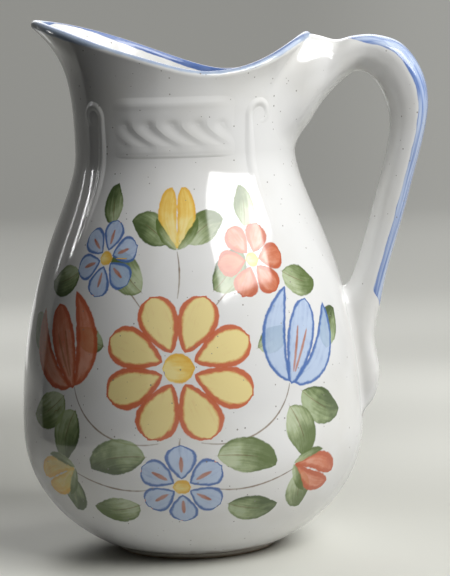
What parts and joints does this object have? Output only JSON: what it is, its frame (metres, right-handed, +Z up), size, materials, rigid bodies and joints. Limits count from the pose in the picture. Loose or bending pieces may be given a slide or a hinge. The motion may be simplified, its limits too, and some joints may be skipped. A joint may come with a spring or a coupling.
{
  "type": "pitcher",
  "caption": "Pear-shaped glazed ceramic pitcher with a pulled pouring lip, ear handle, low bare foot and moulded wave frieze between scroll ribs on the neck.",
  "frame": {"origin": "on the vessel's axis at the underside of the foot", "axes": "+Z up along the vessel's axis, -X towards the pouring lip, +X towards the handle"},
  "size_m": [0.1822, 0.1506, 0.2342],
  "materials": {
    "glaze": "glossy tin-white glaze with hand-painted colour under it",
    "bare_clay": "unglazed fired clay"
  },
  "bodies": {
    "root": {"foot": "bare_clay", "body": "glaze", "handle": "glaze", "neck_frieze_near": "glaze", "neck_frieze_far": "glaze", "front_scroll_rib_near": "glaze", "front_scroll_rib_far": "glaze", "rear_scroll_rib_near": "glaze", "rear_scroll_rib_far": "glaze"}
  },
  "joints": []
}
